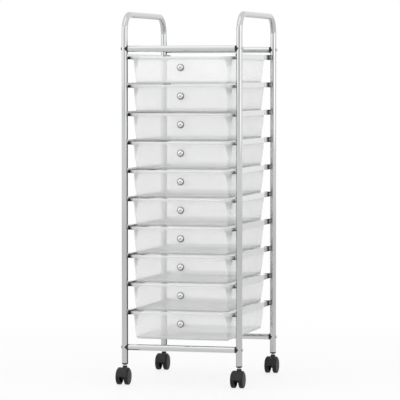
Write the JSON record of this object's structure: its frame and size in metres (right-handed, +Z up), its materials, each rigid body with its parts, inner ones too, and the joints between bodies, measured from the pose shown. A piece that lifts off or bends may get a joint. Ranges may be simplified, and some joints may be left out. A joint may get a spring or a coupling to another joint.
{
  "type": "rolling storage cart",
  "caption": "Tall narrow rolling cart: bent chrome tube frame with handle bows, a stack of frosted plastic drawers sliding on channel rails, and swivelling twin-wheel casters.",
  "frame": {"origin": "on the floor, midway between the four posts", "axes": "+Z up, -Y to the front where the drawers pull out, +X to the right seen from the front"},
  "size_m": [0.3388, 0.4132, 0.96],
  "materials": {
    "chrome_tube": "polished",
    "chrome_sheet": "polished",
    "chrome_knob": "polished",
    "bright_steel": "satin",
    "frosted_plastic": "frosted, translucent",
    "black_plastic": "fine grain",
    "black_wheel_plastic": "semi gloss"
  },
  "bodies": {
    "frame": {"left_hoop": "chrome_tube", "right_hoop": "chrome_tube", "front_top_crossbar": "chrome_tube", "rear_top_crossbar": "chrome_tube", "front_bottom_crossbar": "chrome_tube", "rear_bottom_crossbar": "chrome_tube", "left_drawer_rails": "chrome_sheet", "right_drawer_rails": "chrome_sheet", "crossbar_end_plugs": "black_plastic", "crossbar_bolts": "bright_steel", "caster_sockets": "black_plastic", "caster_stems": "bright_steel", "stem_grip_rings": "bright_steel"},
    "drawer_1": {"drawer_1_tray": "frosted_plastic", "drawer_1_knob": "chrome_knob", "drawer_1_knob_screw": "bright_steel"},
    "drawer_2": {"drawer_2_tray": "frosted_plastic", "drawer_2_knob": "chrome_knob", "drawer_2_knob_screw": "bright_steel"},
    "drawer_3": {"drawer_3_tray": "frosted_plastic", "drawer_3_knob": "chrome_knob", "drawer_3_knob_screw": "bright_steel"},
    "drawer_4": {"drawer_4_tray": "frosted_plastic", "drawer_4_knob": "chrome_knob", "drawer_4_knob_screw": "bright_steel"},
    "drawer_5": {"drawer_5_tray": "frosted_plastic", "drawer_5_knob": "chrome_knob", "drawer_5_knob_screw": "bright_steel"},
    "drawer_6": {"drawer_6_tray": "frosted_plastic", "drawer_6_knob": "chrome_knob", "drawer_6_knob_screw": "bright_steel"},
    "drawer_7": {"drawer_7_tray": "frosted_plastic", "drawer_7_knob": "chrome_knob", "drawer_7_knob_screw": "bright_steel"},
    "drawer_8": {"drawer_8_tray": "frosted_plastic", "drawer_8_knob": "chrome_knob", "drawer_8_knob_screw": "bright_steel"},
    "drawer_9": {"drawer_9_tray": "frosted_plastic", "drawer_9_knob": "chrome_knob", "drawer_9_knob_screw": "bright_steel"},
    "drawer_10": {"drawer_10_tray": "frosted_plastic", "drawer_10_knob": "chrome_knob", "drawer_10_knob_screw": "bright_steel"},
    "front_left_caster": {"front_left_caster_hood": "black_plastic", "front_left_caster_axle": "bright_steel"},
    "front_left_caster_left_wheel": {"front_left_caster_left_wheel": "black_wheel_plastic"},
    "front_left_caster_right_wheel": {"front_left_caster_right_wheel": "black_wheel_plastic"},
    "front_right_caster": {"front_right_caster_hood": "black_plastic", "front_right_caster_axle": "bright_steel"},
    "front_right_caster_left_wheel": {"front_right_caster_left_wheel": "black_wheel_plastic"},
    "front_right_caster_right_wheel": {"front_right_caster_right_wheel": "black_wheel_plastic"},
    "rear_left_caster": {"rear_left_caster_hood": "black_plastic", "rear_left_caster_axle": "bright_steel"},
    "rear_left_caster_left_wheel": {"rear_left_caster_left_wheel": "black_wheel_plastic"},
    "rear_left_caster_right_wheel": {"rear_left_caster_right_wheel": "black_wheel_plastic"},
    "rear_right_caster": {"rear_right_caster_hood": "black_plastic", "rear_right_caster_axle": "bright_steel"},
    "rear_right_caster_left_wheel": {"rear_right_caster_left_wheel": "black_wheel_plastic"},
    "rear_right_caster_right_wheel": {"rear_right_caster_right_wheel": "black_wheel_plastic"}
  },
  "joints": [
    {"name": "drawer_1_slide", "type": "slide", "parent": "frame", "child": "drawer_1", "axis": [0, -1, 0], "range_m": [0, 0.26]},
    {"name": "drawer_2_slide", "type": "slide", "parent": "frame", "child": "drawer_2", "axis": [0, -1, 0], "range_m": [0, 0.26]},
    {"name": "drawer_3_slide", "type": "slide", "parent": "frame", "child": "drawer_3", "axis": [0, -1, 0], "range_m": [0, 0.26]},
    {"name": "drawer_4_slide", "type": "slide", "parent": "frame", "child": "drawer_4", "axis": [0, -1, 0], "range_m": [0, 0.26]},
    {"name": "drawer_5_slide", "type": "slide", "parent": "frame", "child": "drawer_5", "axis": [0, -1, 0], "range_m": [0, 0.26]},
    {"name": "drawer_6_slide", "type": "slide", "parent": "frame", "child": "drawer_6", "axis": [0, -1, 0], "range_m": [0, 0.26]},
    {"name": "drawer_7_slide", "type": "slide", "parent": "frame", "child": "drawer_7", "axis": [0, -1, 0], "range_m": [0, 0.26]},
    {"name": "drawer_8_slide", "type": "slide", "parent": "frame", "child": "drawer_8", "axis": [0, -1, 0], "range_m": [0, 0.26]},
    {"name": "drawer_9_slide", "type": "slide", "parent": "frame", "child": "drawer_9", "axis": [0, -1, 0], "range_m": [0, 0.26]},
    {"name": "drawer_10_slide", "type": "slide", "parent": "frame", "child": "drawer_10", "axis": [0, -1, 0], "range_m": [0, 0.26]},
    {"name": "front_left_caster_swivel", "type": "hinge", "parent": "frame", "child": "front_left_caster", "pos_m": [-0.152, -0.183, 0.0479], "axis": [0, 0, 1], "continuous": true},
    {"name": "front_left_caster_left_wheel_spin", "type": "hinge", "parent": "front_left_caster", "child": "front_left_caster_left_wheel", "pos_m": [-0.152, -0.196, 0.021], "axis": [1, 0, 0], "continuous": true},
    {"name": "front_left_caster_right_wheel_spin", "type": "hinge", "parent": "front_left_caster", "child": "front_left_caster_right_wheel", "pos_m": [-0.152, -0.196, 0.021], "axis": [1, 0, 0], "continuous": true},
    {"name": "front_right_caster_swivel", "type": "hinge", "parent": "frame", "child": "front_right_caster", "pos_m": [0.152, -0.183, 0.0479], "axis": [0, 0, 1], "continuous": true},
    {"name": "front_right_caster_left_wheel_spin", "type": "hinge", "parent": "front_right_caster", "child": "front_right_caster_left_wheel", "pos_m": [0.152, -0.196, 0.021], "axis": [1, 0, 0], "continuous": true},
    {"name": "front_right_caster_right_wheel_spin", "type": "hinge", "parent": "front_right_caster", "child": "front_right_caster_right_wheel", "pos_m": [0.152, -0.196, 0.021], "axis": [1, 0, 0], "continuous": true},
    {"name": "rear_left_caster_swivel", "type": "hinge", "parent": "frame", "child": "rear_left_caster", "pos_m": [-0.152, 0.183, 0.0479], "axis": [0, 0, 1], "continuous": true},
    {"name": "rear_left_caster_left_wheel_spin", "type": "hinge", "parent": "rear_left_caster", "child": "rear_left_caster_left_wheel", "pos_m": [-0.152, 0.17, 0.021], "axis": [1, 0, 0], "continuous": true},
    {"name": "rear_left_caster_right_wheel_spin", "type": "hinge", "parent": "rear_left_caster", "child": "rear_left_caster_right_wheel", "pos_m": [-0.152, 0.17, 0.021], "axis": [1, 0, 0], "continuous": true},
    {"name": "rear_right_caster_swivel", "type": "hinge", "parent": "frame", "child": "rear_right_caster", "pos_m": [0.152, 0.183, 0.0479], "axis": [0, 0, 1], "continuous": true},
    {"name": "rear_right_caster_left_wheel_spin", "type": "hinge", "parent": "rear_right_caster", "child": "rear_right_caster_left_wheel", "pos_m": [0.152, 0.17, 0.021], "axis": [1, 0, 0], "continuous": true},
    {"name": "rear_right_caster_right_wheel_spin", "type": "hinge", "parent": "rear_right_caster", "child": "rear_right_caster_right_wheel", "pos_m": [0.152, 0.17, 0.021], "axis": [1, 0, 0], "continuous": true}
  ]
}
